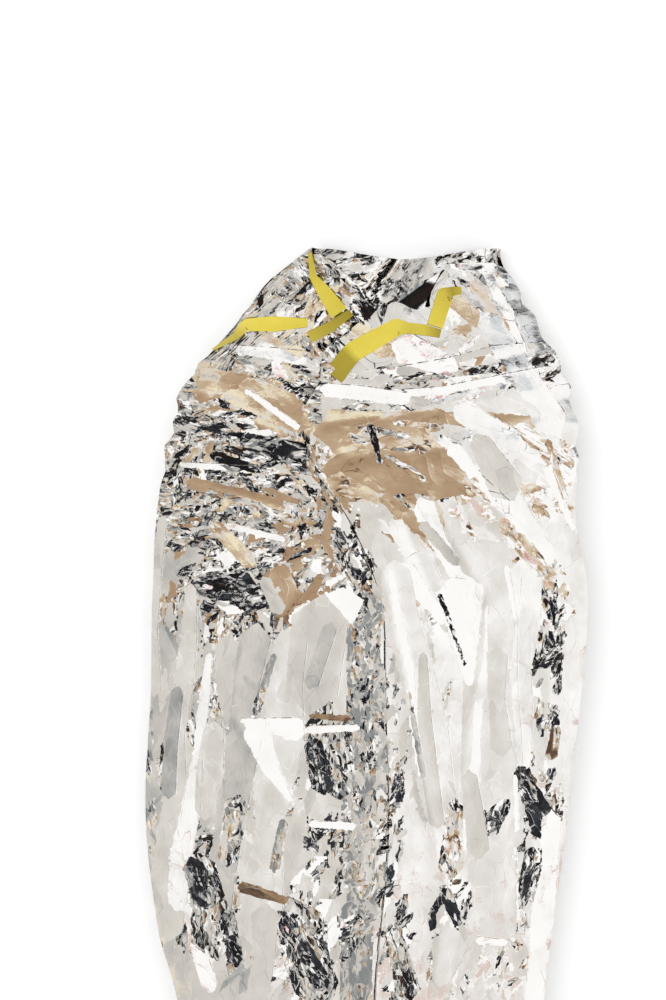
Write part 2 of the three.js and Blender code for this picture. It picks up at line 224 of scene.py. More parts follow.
view = {"middle": (-36.7, 767), "frameHigh": 1080, "cloth": 60, "lens": 100, "away": 3000}
camera = bpy.data.objects.new("camera", bpy.data.cameras.new("camera"))
bpy.context.scene.collection.objects.link(camera)
camera.data.lens = view["lens"]
camera.data.sensor_fit = "VERTICAL"
camera.data.sensor_height = view["frameHigh"] * view["lens"] / view["away"]
camera.data.clip_end = 50
camera.location = (view["middle"][0] * mm, view["middle"][1] * mm, (view["cloth"] + view["away"]) * mm)
bpy.context.scene.camera = camera

# Soft white surround for the floor; the film mirrors washes and cards set at these places overhead.
# u is towards the bag's right and v towards its head, as parts of a full turn down to the floor.
studio = {
    "across": [(-1, "#CFCCC6"), (-0.64, "#CAC7C1"), (-0.54, "#83878A"), (-0.38, "#8C8F90"),
               (-0.29, "#A3A5A4"), (-0.2, "#BEBCB8"),
               (-0.11, "#CFCBC5"), (0, "#DBD8D2"), (0.12, "#EAE8E6"), (0.22, "#F8F7F6"), (0.3, "#FFFFFF"),
               (0.6, "#FFFFFF"),
               (0.72, "#D8D5CF"), (1, "#D2CFC9")],
    "towardsFoot": [(-0.86, "#DAD6D0"), (-0.74, "#C8BBA8"), (-0.66, "#4A3C34"), (-0.59, "#6B5646"),
                    (-0.53, "#A58A6E"), (-0.46, "#B2977B"),
                    (-0.39, "#BFA689"), (-0.34, "#D0BDA3"), (-0.3, "#E6DCCB"), (-0.26, "#E8E1D4")],
    "towardsHead": [(0.17, "#B4B5B4"), (0.2, "#808284"), (0.23, "#2F2F33"), (0.36, "#1C1C20"),
                    (0.62, "#1A191B"), (0.72, "#2A201C"),
                    (0.8, "#1E1C1E"), (0.92, "#4A3C34"), (0.97, "#8F9290"), (1, "#CFCBC5")],
    "cards": [
        {"name": "coolCard", "u": 0.2, "v": 0.13, "wide": 0.03, "deep": 0.02, "soft": 0.03,
         "colour": "#D6DBE0"},
        {"name": "coolFlag", "u": 0.05, "v": 0.33, "wide": 0.03, "deep": 0.04, "soft": 0.02,
         "colour": "#3C4046"},
        {"name": "rosyCard", "u": 0.18, "v": -0.235, "wide": 0.06, "deep": 0.03, "soft": 0.03,
         "colour": "#DCCBC4"},
        {"name": "redCard", "u": 0.24, "v": -0.28, "wide": 0.02, "deep": 0.015, "soft": 0.01,
         "colour": "#C4716C"},
        {"name": "creamCard", "u": -0.03, "v": -0.325, "wide": 0.06, "deep": 0.012, "soft": 0.01,
         "colour": "#F6EACB"},
        {"name": "brownCard", "u": 0.12, "v": -0.58, "wide": 0.05, "deep": 0.03, "soft": 0.03,
         "colour": "#6B4A3C"},
        {"name": "whiteStrip", "u": -0.05, "v": 0.42, "wide": 0.5, "deep": 0.012, "soft": 0.01,
         "colour": "#E9E8E8"},
        {"name": "redSpeck", "u": 0.36, "v": 0.14, "wide": 0.02, "deep": 0.02, "soft": 0.01,
         "colour": "#D98783"},
    ],
    "strength": 1.06,
}
world = bpy.data.worlds.new("studio")
bpy.context.scene.world = world
world.use_nodes = True
wt = world.node_tree
wt.nodes.clear()
direction = addNode(wt, "ShaderNodeTexCoord").outputs["Generated"]
split = addNode(wt, "ShaderNodeSeparateXYZ", links={0: direction})


def washNode(stops, axis):
    # A run of tones along one way across the ceiling.
    place = addNode(wt, "ShaderNodeMapRange", None, {0: split.outputs[axis]}, _1=-1.0, _2=1.0, _3=0.0, _4=1.0)
    ramp = addNode(wt, "ShaderNodeValToRGB", links={0: place.outputs[0]})
    band = ramp.color_ramp
    while len(band.elements) < len(stops):
        band.elements.new(0.5)
    for element, (at, colour) in zip(band.elements, stops):
        element.position = (at + 1) / 2
        element.color = linear(colour)
    return ramp.outputs[0]


def windowShare(axis, place, half, soft):
    off = addNode(wt, "ShaderNodeMath", {"operation": "SUBTRACT"}, {0: split.outputs[axis]}, _1=place)
    away = addNode(wt, "ShaderNodeMath", {"operation": "ABSOLUTE"}, {0: off.outputs[0]})
    return addNode(wt, "ShaderNodeMapRange", {"interpolation_type": "SMOOTHSTEP"}, {0: away.outputs[0]},
                   _1=half, _2=half + soft, _3=1.0, _4=0.0).outputs[0]


def over(below, share, colour):
    blend = addNode(wt, "ShaderNodeMix", {"data_type": "RGBA"}, {0: share, 6: below})
    if isinstance(colour, str):
        blend.inputs[7].default_value = linear(colour)
    else:
        wt.links.new(colour, blend.inputs[7])
    return blend.outputs[2]


tone = washNode(studio["across"], "X")
for wash, middle, half in (("towardsFoot", -0.55, 0.26), ("towardsHead", 0.6, 0.42)):
    share = addNode(wt, "ShaderNodeMath", {"operation": "MULTIPLY"},
                    {0: windowShare("Y", middle, half, 0.03), 1: windowShare("X", 0, 0.5, 0.06)}).outputs[0]
    tone = over(tone, share, washNode(studio[wash], "Y"))
for card in studio["cards"]:
    share = addNode(wt, "ShaderNodeMath", {"operation": "MULTIPLY"},
                    {0: windowShare("X", card["u"], card["wide"], card["soft"]),
                     1: windowShare("Y", card["v"], card["deep"], card["soft"])}).outputs[0]
    tone = over(tone, share, card["colour"])
path = addNode(wt, "ShaderNodeLightPath")
mirrored = path.outputs["Is Glossy Ray"]
pale = addNode(wt, "ShaderNodeBackground", _0=linear("#FFFFFF"), _1=1.02)
cards = addNode(wt, "ShaderNodeBackground", links={0: tone}, _1=studio["strength"])
chosen = addNode(wt, "ShaderNodeMixShader", links={0: mirrored, 1: pale.outputs[0], 2: cards.outputs[0]})
addNode(wt, "ShaderNodeOutputWorld", links={0: chosen.outputs[0]})
bpy.context.scene.view_settings.view_transform = "Standard"

lamp = bpy.data.objects.new("softbox", bpy.data.lights.new("softbox", "AREA"))
lamp.data.size = 1.6
lamp.data.energy = 13
lamp.location = (-1.3, 1.9, 1.9)
lamp.rotation_euler = (Vector((0, 0.7, 0)) - lamp.location).to_track_quat("-Z", "Y").to_euler()
lamp.visible_glossy = False
bpy.context.scene.collection.objects.link(lamp)


def newPiece(name, bm, material, smooth=True):
    mesh = bpy.data.meshes.new(name)
    bm.to_mesh(mesh)
    bm.free()
    piece = bpy.data.objects.new(name, mesh)
    bpy.context.scene.collection.objects.link(piece)
    mesh.materials.append(material)
    mesh.polygons.foreach_set("use_smooth", [smooth] * len(mesh.polygons))
    return piece


floorBm = bmesh.new()
bmesh.ops.create_grid(floorBm, x_segments=2, y_segments=2, size=12)
floorPaper = bpy.data.materials.new("whiteStudioPaper")
floorPaper.use_nodes = True
paper = floorPaper.node_tree.nodes["Principled BSDF"]
paper.inputs["Base Color"].default_value = linear("#FFFFFF")
paper.inputs["Roughness"].default_value = 0.95
paper.inputs["Specular IOR Level"].default_value = 0.0
floor = newPiece("floor", floorBm, floorPaper, smooth=False)
print("camera, floor and light are set")


def filmMaterial(name, facets):
    # Metallised polyester film: a mirror on a thin sheet. The vacuum coating mirrors the room, and
    # each crease turns a small flat facet of it towards another part of the room.
    material = bpy.data.materials.new(name)
    material.use_nodes = True
    tree = material.node_tree
    shader = tree.nodes["Principled BSDF"]
    shader.inputs["Metallic"].default_value = 1.0

    def vector(operation, links, **values):
        return addNode(tree, "ShaderNodeVectorMath", {"operation": operation}, links, **values).outputs[0]

    def number(operation, links, **values):
        return addNode(tree, "ShaderNodeMath", {"operation": operation}, links, **values).outputs[0]

    def ranged(source, *ends):
        return addNode(tree, "ShaderNodeMapRange", None, {0: source}, _1=ends[0], _2=ends[1], _3=ends[2],
                       _4=ends[3]).outputs[0]

    sheet = addNode(tree, "ShaderNodeUVMap", {"uv_map": "film"}).outputs[0]
    upper, lower, side, crease = (addNode(tree, "ShaderNodeAttribute",
                                          {"attribute_name": name}).outputs["Vector"]
                                  for name in ("upperFace", "lowerFace", "faceSide", "crease"))
    # Each panel between creases has its own lean; the border between two is where the side changes sign.
    sideParts = addNode(tree, "ShaderNodeSeparateXYZ", links={0: side})
    fray = addNode(tree, "ShaderNodeTexNoise", {"noise_dimensions": "2D"}, {"Vector": sheet},
                   Scale=1 / (7 * mm), Detail=3.0)
    edgeAt = number("MULTIPLY_ADD", {0: fray.outputs[0], 2: sideParts.outputs[2]}, _1=4.0)
    edgeAt = number("SUBTRACT", {0: edgeAt}, _1=2.0)
    onUpper = number("GREATER_THAN", {0: edgeAt}, _1=0.0)
    face = addNode(tree, "ShaderNodeMix", {"data_type": "VECTOR"},
                   {0: onUpper, 4: lower, 5: upper}).outputs[1]
    turn = addNode(tree, "ShaderNodeMix", {"data_type": "FLOAT"},
                   {0: onUpper, 2: sideParts.outputs[1], 3: sideParts.outputs[0]}).outputs[0]
    faceParts = addNode(tree, "ShaderNodeSeparateXYZ", links={0: face})
    laid = addNode(tree, "ShaderNodeVectorRotate", {"rotation_type": "Z_AXIS"},
                   {"Vector": sheet, "Angle": turn}).outputs[0]
    patch = addNode(tree, "ShaderNodeMapping", {"vector_type": "TEXTURE"}, {"Vector": laid},
                    Scale=(34 * mm, 15 * mm, 1))
    patchy = addNode(tree, "ShaderNodeTexNoise", {"noise_dimensions": "2D"}, {"Vector": patch.outputs[0]},
                     Scale=1.0, Detail=2.0)
    crush = number("MULTIPLY", {0: faceParts.outputs[2], 1: ranged(patchy.outputs[0], 0.36, 0.62, 0.3, 1.2)})
    tilt = addNode(tree, "ShaderNodeCombineXYZ",
                   links={0: faceParts.outputs[0], 1: faceParts.outputs[1]}).outputs[0]
    # A slack panel is never quite flat.
    swell = addNode(tree, "ShaderNodeTexNoise", {"noise_dimensions": "2D"}, {"Vector": sheet},
                    Scale=1 / (38 * mm), Detail=2.5)
    tilt = vector("ADD",
                  {0: tilt, 1: vector("MULTIPLY_ADD", {0: swell.outputs["Color"]}, _1=(0.16, 0.1, 0),
                                      _2=(-0.08, -0.05, 0))})
    # The pressed border of a panel glints unevenly.
    seam = number("MULTIPLY", {0: ranged(number("ABSOLUTE", {0: edgeAt}), 0.2, 1.0, 1.0, 0.0),
                               1: ranged(fray.outputs["Fac"], 0.4, 0.6, 0.0, 1.0)})
    seam = number("MULTIPLY", {0: seam, 1: ranged(crush, 0.1, 0.5, 0.14, 1.0)})
    glint = vector("MULTIPLY_ADD", {0: fray.outputs["Color"]}, _1=(1.6, 1.6, 0), _2=(-0.8, -0.8, 0))
    tilt = vector("ADD",
                  {0: tilt, 1: addNode(tree, "ShaderNodeVectorMath", {"operation": "SCALE"},
                                       {0: glint, "Scale": seam}).outputs[0]})
    for layer in facets:
        wander = addNode(tree, "ShaderNodeTexNoise", {"noise_dimensions": "2D"}, {"Vector": laid},
                         Scale=0.7 / (layer["long"] * mm), Detail=1.0)
        pulled = vector("MULTIPLY_ADD", {0: wander.outputs["Color"], 2: laid},
                        _1=(layer["long"] * mm * 0.8,) * 3)
        placed = addNode(tree, "ShaderNodeMapping", {"vector_type": "TEXTURE"}, {"Vector": pulled},
                         Rotation=(0, 0, math.radians(layer["turn"])),
                         Scale=(layer["long"] * mm, layer["wide"] * mm, 1)).outputs[0]
        cells = addNode(tree, "ShaderNodeTexVoronoi", {"voronoi_dimensions": "2D"}, {"Vector": placed},
                        Scale=1.0)
        even = vector("MULTIPLY_ADD", {0: cells.outputs["Color"]}, _1=(2, 2, 2), _2=(-1, -1, -1))
        # Most facets lean a little and a few lean a lot.
        rare = vector("MULTIPLY", {0: vector("ABSOLUTE", {0: even}), 1: even})
        if layer["edge"]:
            rare = vector("MULTIPLY", {0: vector("MULTIPLY", {0: even, 1: even}), 1: even})
        power = ranged(crush, layer["from"], 1.0, layer["calm"], layer["crushed"])
        part = addNode(tree, "ShaderNodeVectorMath", {"operation": "SCALE"},
                       {0: rare, "Scale": power}).outputs[0]
        tilt = vector("ADD", {0: tilt, 1: part})
        if layer["edge"]:
            edges = addNode(tree, "ShaderNodeTexVoronoi",
                            {"voronoi_dimensions": "2D", "feature": "DISTANCE_TO_EDGE"},
                            {"Vector": placed}, Scale=1.0)
            rim = number("MULTIPLY", {0: ranged(edges.outputs["Distance"], 0.0, layer["edge"], 1.0, 0.0),
                                      1: number("MAXIMUM", {0: power}, _1=layer["line"])})
            way = vector("MULTIPLY_ADD", {0: wander.outputs["Color"]}, _1=(5, 5, 0), _2=(-2.5, -2.5, 0))
            folded = addNode(tree, "ShaderNodeVectorMath", {"operation": "SCALE"},
                             {0: way, "Scale": rim}).outputs[0]
            tilt = vector("ADD", {0: tilt, 1: folded})
    # Hard creases from packing: a sharp broken ridge about a millimetre wide, leaning away on both sides.
    creaseParts = addNode(tree, "ShaderNodeSeparateXYZ", links={0: crease})
    near = number("ABSOLUTE", {0: creaseParts.outputs[2]})
    breaks = addNode(tree, "ShaderNodeTexNoise", {"noise_dimensions": "2D"}, {"Vector": sheet},
                     Scale=1 / (9 * mm), Detail=3.0)
    ridge = number("MULTIPLY",
                   {0: ranged(near, 0.25, 1.1, 0.3, 0.0), 1: ranged(breaks.outputs[0], 0.38, 0.6, 0.08, 1.0)})
    push = number("MULTIPLY", {0: number("SIGN", {0: creaseParts.outputs[2]}), 1: ridge})
    across = addNode(tree, "ShaderNodeCombineXYZ",
                     links={0: creaseParts.outputs[0], 1: creaseParts.outputs[1]}).outputs[0]
    pushed = addNode(tree, "ShaderNodeVectorMath", {"operation": "SCALE"},
                     {0: across, "Scale": push}).outputs[0]
    level = vector("MULTIPLY", {0: vector("ADD", {0: tilt, 1: pushed})}, _1=(1, 1, 0))
    shown = addNode(tree, "ShaderNodeAttribute", {"attribute_name": "shown"}).outputs["Fac"]
    normal = addNode(tree, "ShaderNodeNewGeometry").outputs["Normal"]
    base = addNode(tree, "ShaderNodeMix", {"data_type": "VECTOR"}, {0: shown, 4: normal}).outputs[1]
    base.node.inputs[5].default_value = (0, 0, 1)
    facet = vector("NORMALIZE", {0: vector("ADD", {0: base, 1: level})})
    # The fine crackle of handled film.
    grain = addNode(tree, "ShaderNodeTexNoise", {"noise_dimensions": "2D"}, {"Vector": sheet},
                    Scale=1 / (6 * mm), Detail=5.0, Roughness=0.6)
    bump = addNode(tree, "ShaderNodeBump", None, {"Height": grain.outputs[0], "Normal": facet},
                   Strength=0.2, Distance=0.3 * mm)
    tree.links.new(bump.outputs[0], shader.inputs["Normal"])
    scuff = addNode(tree, "ShaderNodeTexNoise", {"noise_dimensions": "2D"}, {"Vector": sheet},
                    Scale=1 / (30 * mm), Detail=4.0)
    tree.links.new(ranged(scuff.outputs[0], 0.35, 0.75, 0.04, 0.1), shader.inputs["Roughness"])
    silver = addNode(tree, "ShaderNodeMix", {"data_type": "RGBA"}, {0: scuff.outputs[0]})
    silver.inputs[6].default_value = linear("#FAF9F7")
    silver.inputs[7].default_value = linear("#F1EFEC")
    tree.links.new(silver.outputs[2], shader.inputs["Base Color"])
    return material


filmFacets = [
    {"long": 32, "wide": 13, "turn": 8, "from": 0.05, "calm": 0.016, "crushed": 0.36, "edge": 0.03,
     "line": 0.07},
    {"long": 16, "wide": 5.2, "turn": -12, "from": 0.15, "calm": 0.008, "crushed": 0.7, "edge": 0.07,
     "line": 0.0},
    {"long": 9, "wide": 3.2, "turn": 16, "from": 0.12, "calm": 0.0, "crushed": 0.75, "edge": 0, "line": 0.0},
]
filmFinish = filmMaterial("metallisedPolyesterFilm", filmFacets)


def tapeMaterial():
    # Yellow polyester tape with a rubber adhesive: satin, with slack ripples, and painted shade where the tape
    # folds over or tilts away.
    material = bpy.data.materials.new("yellowPolyesterTape")
    material.use_nodes = True
    tree = material.node_tree
    shader = tree.nodes["Principled BSDF"]
    sheet = addNode(tree, "ShaderNodeUVMap", {"uv_map": "film"}).outputs[0]
    cloud = addNode(tree, "ShaderNodeTexNoise", {"noise_dimensions": "2D"}, {"Vector": sheet},
                    Scale=1 / (14 * mm), Detail=3.0)
    tint = addNode(tree, "ShaderNodeMix", {"data_type": "RGBA"}, {0: cloud.outputs[0]})
    tint.inputs[6].default_value = linear("#D2BE38")
    tint.inputs[7].default_value = linear("#DECC4C")
    # Painted shade: the shade value of each corner darkens the yellow towards a dark olive.
    shade = addNode(tree, "ShaderNodeAttribute", {"attribute_name": "shade"}).outputs["Fac"]
    paintedTapeShade = addNode(tree, "ShaderNodeMix", {"data_type": "RGBA"}, {0: shade, 6: tint.outputs[2]})
    paintedTapeShade.inputs[7].default_value = linear("#8E7B12")
    tree.links.new(paintedTapeShade.outputs[2], shader.inputs["Base Color"])
    shader.inputs["Roughness"].default_value = 0.42
    ripple = addNode(tree, "ShaderNodeTexNoise", {"noise_dimensions": "2D"}, {"Vector": sheet},
                     Scale=1 / (6 * mm), Detail=4.0)
    bump = addNode(tree, "ShaderNodeBump", None, {"Height": ripple.outputs[0]}, Strength=0.5,
                   Distance=0.8 * mm)
    tree.links.new(bump.outputs[0], shader.inputs["Normal"])
    return material


tapeFinish = tapeMaterial()


# The lie of the front sheet, as heights on a grid.
relief = {"cell": 3.0, "low": 90, "high": 1064, "half": 252, "hold": 0.0025, "calm": 0.05, "own": 0.1,
          "fold": 0.1, "leanMost": 0.05}

# Which way the film faces in each panel between its creases, as the lean of its face towards the
# right and the head, and how crushed it is there.
faces = {
    "level": (0.0, 0.0, 0.1), "pale": (0.062, 0.0, 0.12), "white": (0.18, 0.0, 0.14),
    "cool": (0.085, 0.055, 0.1),
    "shade": (-0.055, 0.0, 0.12), "ash": (-0.11, 0.0, 0.3), "dull": (-0.18, 0.0, 0.42),
    "worn": (-0.01, 0.02, 0.5),
    "tan": (0.0, -0.23, 0.14), "tanSoft": (0.01, -0.17, 0.25), "tanWorn": (0.0, -0.23, 0.45),
    "tanDark": (0.0, -0.295, 0.5),
    "creamy": (-0.015, -0.17, 0.6), "rosy": (0.09, -0.115, 0.3), "rosyDeep": (0.1, -0.125, 0.4),
    "dark": (0.0, 0.22, 0.35), "crushed": (-0.03, 0.05, 0.75),
    "gathered": (0.0, -0.12, 0.85), "shattered": (0.0, 0.14, 0.95), "shards": (0.04, 0.19, 0.95),
    "scuffed": (0.02, 0.06, 0.6), "streak": (-0.05, 0.07, 0.95),
}

# The main flat folds of the gathered front, each a strip from one place to another.
# Later rows lie over earlier ones; wide and toWide are its widths at the two ends.
foldColumns = ("face", "x", "y", "toX", "toY", "wide", "toWide")
grounds = [
    ("gathered", -80, 1040, -90, 920, 130, 190),
    ("gathered", -230, 850, -30, 840, 190, 150),
    ("crushed", -240, 720, 10, 680, 70, 130),
    ("level", -200, 690, -190, 220, 80, 60),
    ("level", -140, 640, -150, 220, 110, 120),
    ("level", -60, 655, -90, 220, 110, 120),
    ("level", 120, 1040, 120, 880, 150, 260),
    ("level", 100, 880, 100, 740, 300, 280),
    ("level", 130, 740, 120, 210, 260, 200),
    ("dull", 0, 655, -5, 215, 40, 50),
    ("pale", 60, 660, 50, 215, 90, 90),
]
mainFolds = [
    ("tan", -180, 900, -80, 870, 26, 30),        # gathers of the left shoulder
    ("tan", -150, 880, -70, 850, 16, 26),
    ("white", -140, 930, -70, 920, 10, 14),
    ("tan", -115, 945, -70, 925, 8, 12),
    ("dark", -130, 830, -70, 815, 20, 26),
    ("tan", -190, 785, -95, 760, 12, 18),
    ("creamy", -170, 775, -80, 745, 8, 10),
    ("white", -130, 885, -75, 845, 5, 8),
    ("white", -200, 805, -120, 800, 5, 8),
    ("dark", -165, 815, -120, 800, 12, 8),
    ("white", -150, 740, -90, 725, 8, 6),
    ("tanSoft", -165, 740, -125, 700, 14, 24),
    ("dark", -180, 675, -130, 670, 26, 34),      # the pinched squares under them
    ("dark", -130, 655, -100, 660, 20, 10),
    ("tan", -90, 695, -75, 640, 10, 26),
    ("tan", -75, 640, -50, 685, 20, 8),
    ("level", -110, 680, -95, 650, 16, 14),
    ("white", -75, 640, -20, 655, 24, 40),
    ("pale", -222, 745, -232, 560, 12, 16),
    ("pale", -190, 672, -220, 300, 16, 40),      # long pleats of the left body
    ("white", -170, 600, -205, 330, 10, 22),
    ("shade", -120, 620, -165, 300, 30, 34),
    ("pale", -80, 620, -115, 300, 34, 40),
    ("level", -50, 640, -60, 560, 50, 50),
    ("pale", -165, 520, -175, 430, 26, 30),
    ("white", -135, 530, -75, 520, 6, 24),       # the bright kite
    ("white", -120, 520, -80, 440, 34, 4),
    ("shattered", -34, 520, -30, 455, 34, 38),
    ("dark", -58, 505, -48, 460, 16, 22),
    ("tan", -60, 535, -20, 532, 7, 9),
    ("white", -60, 520, -10, 522, 8, 8),
    ("white", -60, 418, -15, 416, 6, 8),
    ("tan", -135, 350, -70, 330, 12, 8),
    ("white", -205, 380, -170, 240, 16, 24),
    ("shards", -180, 372, -165, 290, 40, 52),
    ("dark", -188, 372, -176, 335, 20, 26),
    ("dark", -150, 320, -142, 270, 16, 24),
    ("shards", -76, 315, -56, 240, 54, 46),
    ("dark", -70, 288, -52, 252, 18, 22),
    ("level", -110, 320, -120, 225, 30, 34),
    ("tan", -40, 860, 80, 860, 10, 12),          # right chest
    ("tan", -38, 840, 74, 852, 44, 30),
    ("tan", -30, 800, 62, 808, 56, 66),
    ("tan", 30, 830, 88, 786, 48, 40),
    ("tanSoft", -34, 786, 14, 766, 26, 16),
    ("tanWorn", -10, 836, 62, 826, 22, 16),
    ("dark", 4, 846, 14, 806, 10, 5),
    ("creamy", 30, 850, 80, 845, 8, 6),
    ("creamy", 20, 815, 60, 790, 6, 10),
    ("tan", 80, 855, 180, 845, 14, 22),
    ("streak", 30, 895, 200, 920, 8, 14),
    ("white", 30, 880, 190, 905, 12, 10),
    ("white", -45, 885, 40, 875, 14, 12),
    ("shade", 35, 905, 190, 935, 8, 6),
    ("tan", 90, 985, 120, 960, 14, 22),
    ("tan", -15, 955, 20, 930, 10, 22),
    ("tan", 115, 1000, 150, 950, 10, 14),
    ("white", 130, 1015, 170, 930, 14, 8),
    ("white", 40, 930, 90, 910, 30, 20),
    ("white", 100, 1020, 140, 1020, 10, 12),
    ("pale", 130, 960, 200, 850, 30, 34),
    ("pale", 100, 862, 212, 795, 30, 34),
    ("rosy", 165, 845, 215, 800, 16, 22),
    ("white", 92, 822, 150, 762, 22, 8),
    ("rosy", 118, 785, 182, 742, 22, 14),
    ("pale", 150, 772, 195, 705, 26, 22),
    ("tanSoft", 160, 702, 200, 688, 8, 10),
    ("white", 195, 800, 225, 735, 10, 8),
    ("shade", 120, 830, 150, 780, 30, 34),
    ("tan", 20, 770, 50, 740, 12, 18),
    ("white", 60, 760, 110, 660, 30, 14),
    ("pale", 30, 740, 80, 660, 24, 24),
    ("white", 40, 690, 80, 640, 20, 10),         # fans below the chest
    ("pale", 30, 690, 90, 400, 26, 40),
    ("white", 25, 690, 60, 470, 7, 10),
    ("white", 100, 670, 110, 570, 50, 8),
    ("dark", 78, 665, 105, 590, 5, 4),
    ("cool", 130, 650, 105, 400, 6, 16),
    ("level", 150, 690, 140, 400, 34, 50),
    ("white", 150, 695, 160, 640, 6, 5),
    ("pale", 170, 690, 170, 480, 34, 14),
    ("tanDark", 205, 520, 200, 490, 14, 14),
    ("dark", 190, 590, 205, 600, 10, 16),
    ("dark", 165, 475, 195, 410, 20, 44),        # the pinched star and what hangs from it
    ("dark", 150, 440, 130, 415, 14, 24),
    ("white", 160, 470, 162, 410, 5, 6),
    ("dark", 178, 385, 165, 330, 24, 8),
    ("dark", 84, 345, 98, 312, 16, 10),
    ("shards", 28, 305, 44, 238, 24, 36),
    ("white", 160, 390, 162, 325, 4, 5),
    ("pale", 200, 420, 185, 220, 22, 26),
    ("level", 135, 375, 140, 300, 46, 48),
    ("white", 120, 292, 150, 288, 8, 6),
    ("level", 90, 290, 80, 250, 34, 24),
    ("shade", 60, 600, 75, 420, 10, 20),         # quieter tones between the bright folds
    ("ash", 45, 560, 60, 470, 5, 8),
    ("shade", 140, 600, 145, 500, 20, 26),
    ("shade", -205, 560, -215, 450, 14, 18),
    ("ash", -100, 600, -120, 540, 6, 10),
    ("shade", -40, 630, -60, 570, 18, 22),
    ("dull", -90, 420, -100, 370, 10, 14),
    ("shade", 110, 470, 120, 390, 20, 24),
    ("worn", -140, 440, -150, 380, 26, 30),
    ("worn", 95, 440, 90, 370, 22, 26),
    ("rosy", 150, 740, 190, 690, 20, 14),
    ("tanSoft", 195, 830, 215, 770, 10, 8),
    ("shade", 60, 740, 95, 700, 12, 10),
]

# Where the film is crumpled small: the middle, size and direction of each place, and the size of its facets.
crumpleColumns = ("mixture", "x", "y", "wide", "high", "turn", "long", "thin")
crumples = [
    ("tanGathers", -85, 985, 100, 80, 40, 30, 11),
    ("tanGathers", -130, 900, 130, 90, -12, 44, 9),
    ("darkGathers", -150, 845, 120, 40, -15, 40, 8),
    ("tanGathers", -100, 830, 90, 50, -12, 38, 9),
    ("darkGathers", -120, 790, 160, 46, -6, 44, 8),
    ("darkGathers", -190, 790, 50, 90, 60, 24, 8),
    ("darkGathers", -150, 735, 170, 60, 10, 34, 10),
    ("tanGathers", -175, 650, 110, 60, 70, 24, 9),
    ("darkGathers", -105, 640, 110, 50, 75, 26, 10),
    ("scuffs", -190, 500, 70, 280, 80, 60, 12),
    ("tanGathers", -50, 780, 50, 130, -60, 30, 9),
    ("squares", -150, 675, 110, 70, 0, 26, 14),
    ("tanGathers", -70, 690, 90, 80, 50, 30, 14),
    ("squares", -15, 700, 40, 110, -70, 30, 10),
    ("squares", -40, 500, 56, 90, 80, 26, 12),
    ("squares", -40, 400, 60, 50, 80, 30, 9),
    ("scuffs", -110, 455, 100, 120, 70, 34, 12),
    ("squares", -175, 350, 70, 160, 65, 32, 13),
    ("squares", -55, 300, 90, 150, 60, 34, 12),
    ("scuffs", -110, 290, 90, 150, 70, 34, 13),
    ("gutter", 0, 470, 44, 380, 85, 34, 9),
    ("squares", 25, 430, 26, 130, 80, 24, 8),
    ("squares", 30, 290, 34, 130, 70, 28, 9),
    ("scuffs", 20, 880, 110, 60, -10, 34, 8),
    ("rightGathers", 120, 910, 170, 70, 8, 50, 8),
    ("rightGathers", 120, 985, 90, 90, -50, 30, 11),
    ("rose", 150, 790, 150, 130, -40, 34, 12),
    ("rightGathers", 60, 760, 100, 100, -55, 36, 12),
    ("rose", 190, 660, 70, 80, -60, 24, 10),
    ("squares", 195, 590, 34, 180, 80, 26, 9),
    ("scuffs", 60, 560, 60, 260, 75, 46, 9),
    ("squares", 170, 440, 90, 90, 70, 24, 12),
    ("squares", 170, 350, 50, 100, 80, 26, 10),
    ("squares", 95, 320, 50, 80, 70, 28, 9),
    ("scuffs", 130, 260, 130, 90, 80, 34, 12),
]
# How many parts of each face a crumpled place has.
mixtures = {
    "tanGathers": {"tan": 5, "gathered": 4, "white": 2, "dark": 2, "creamy": 1, "level": 2},
    "darkGathers": {"shattered": 4, "dark": 3, "gathered": 3, "white": 2, "tan": 2, "level": 1},
    "squares": {"shards": 4, "dark": 3, "shattered": 2, "white": 2, "level": 3, "tanDark": 1},
    "scuffs": {"level": 5, "pale": 3, "worn": 2, "shade": 2, "scuffed": 1},
    "rose": {"level": 4, "rosy": 4, "rosyDeep": 2, "tanSoft": 2, "white": 1, "pale": 2},
    "rightGathers": {"level": 3, "white": 3, "pale": 2, "tanSoft": 2, "tan": 1, "streak": 1, "shade": 1},
    "gutter": {"dull": 5, "ash": 3, "shade": 3, "scuffed": 2},
}


def foldCorners(fold, point=0.45):
    # A strip whose two ends run out to a blunt point, as a fold of film does.
    dx, dy = fold["toX"] - fold["x"], fold["toY"] - fold["y"]
    span = math.hypot(dx, dy)
    ux, uy = dx / span, dy / span
    near, far = fold["wide"], fold["toWide"]

    def place(fromX, fromY, along, across):
        return (fromX + ux * along - uy * across, fromY + uy * along + ux * across)

    return [place(fold["x"], fold["y"], -point * near, 0), place(fold["x"], fold["y"], 0, near / 2),
            place(fold["toX"], fold["toY"], 0, far / 2), place(fold["toX"], fold["toY"], point * far, 0),
            place(fold["toX"], fold["toY"], 0, -far / 2), place(fold["x"], fold["y"], 0, -near / 2)]


foldBreaks = {"every": 55, "aside": 5, "narrowest": 0.7, "widest": 1.25}


def foldParts(fold, pick):
    # A long fold is broken into shorter ones that wander a little aside and change in width.
    dx, dy = fold["toX"] - fold["x"], fold["toY"] - fold["y"]
    span = math.hypot(dx, dy)
    count = max(1, round(span / foldBreaks["every"]))
    stops = []
    for k in range(count + 1):
        t = k / count
        aside = 0 if k in (0, count) else pick.uniform(-1, 1) * foldBreaks["aside"]
        wide = mix(fold["wide"], fold["toWide"], t) * pick.uniform(foldBreaks["narrowest"],
                                                                   foldBreaks["widest"])
        stops.append((mix(fold["x"], fold["toX"], t) - dy / span * aside,
                      mix(fold["y"], fold["toY"], t) + dx / span * aside, wide))
    return [{"x": a[0], "y": a[1], "toX": b[0], "toY": b[1], "wide": a[2], "toWide": b[2]}
            for a, b in zip(stops, stops[1:])]


crumpleCover = 2.0  # how many times over its facets cover a crumpled place


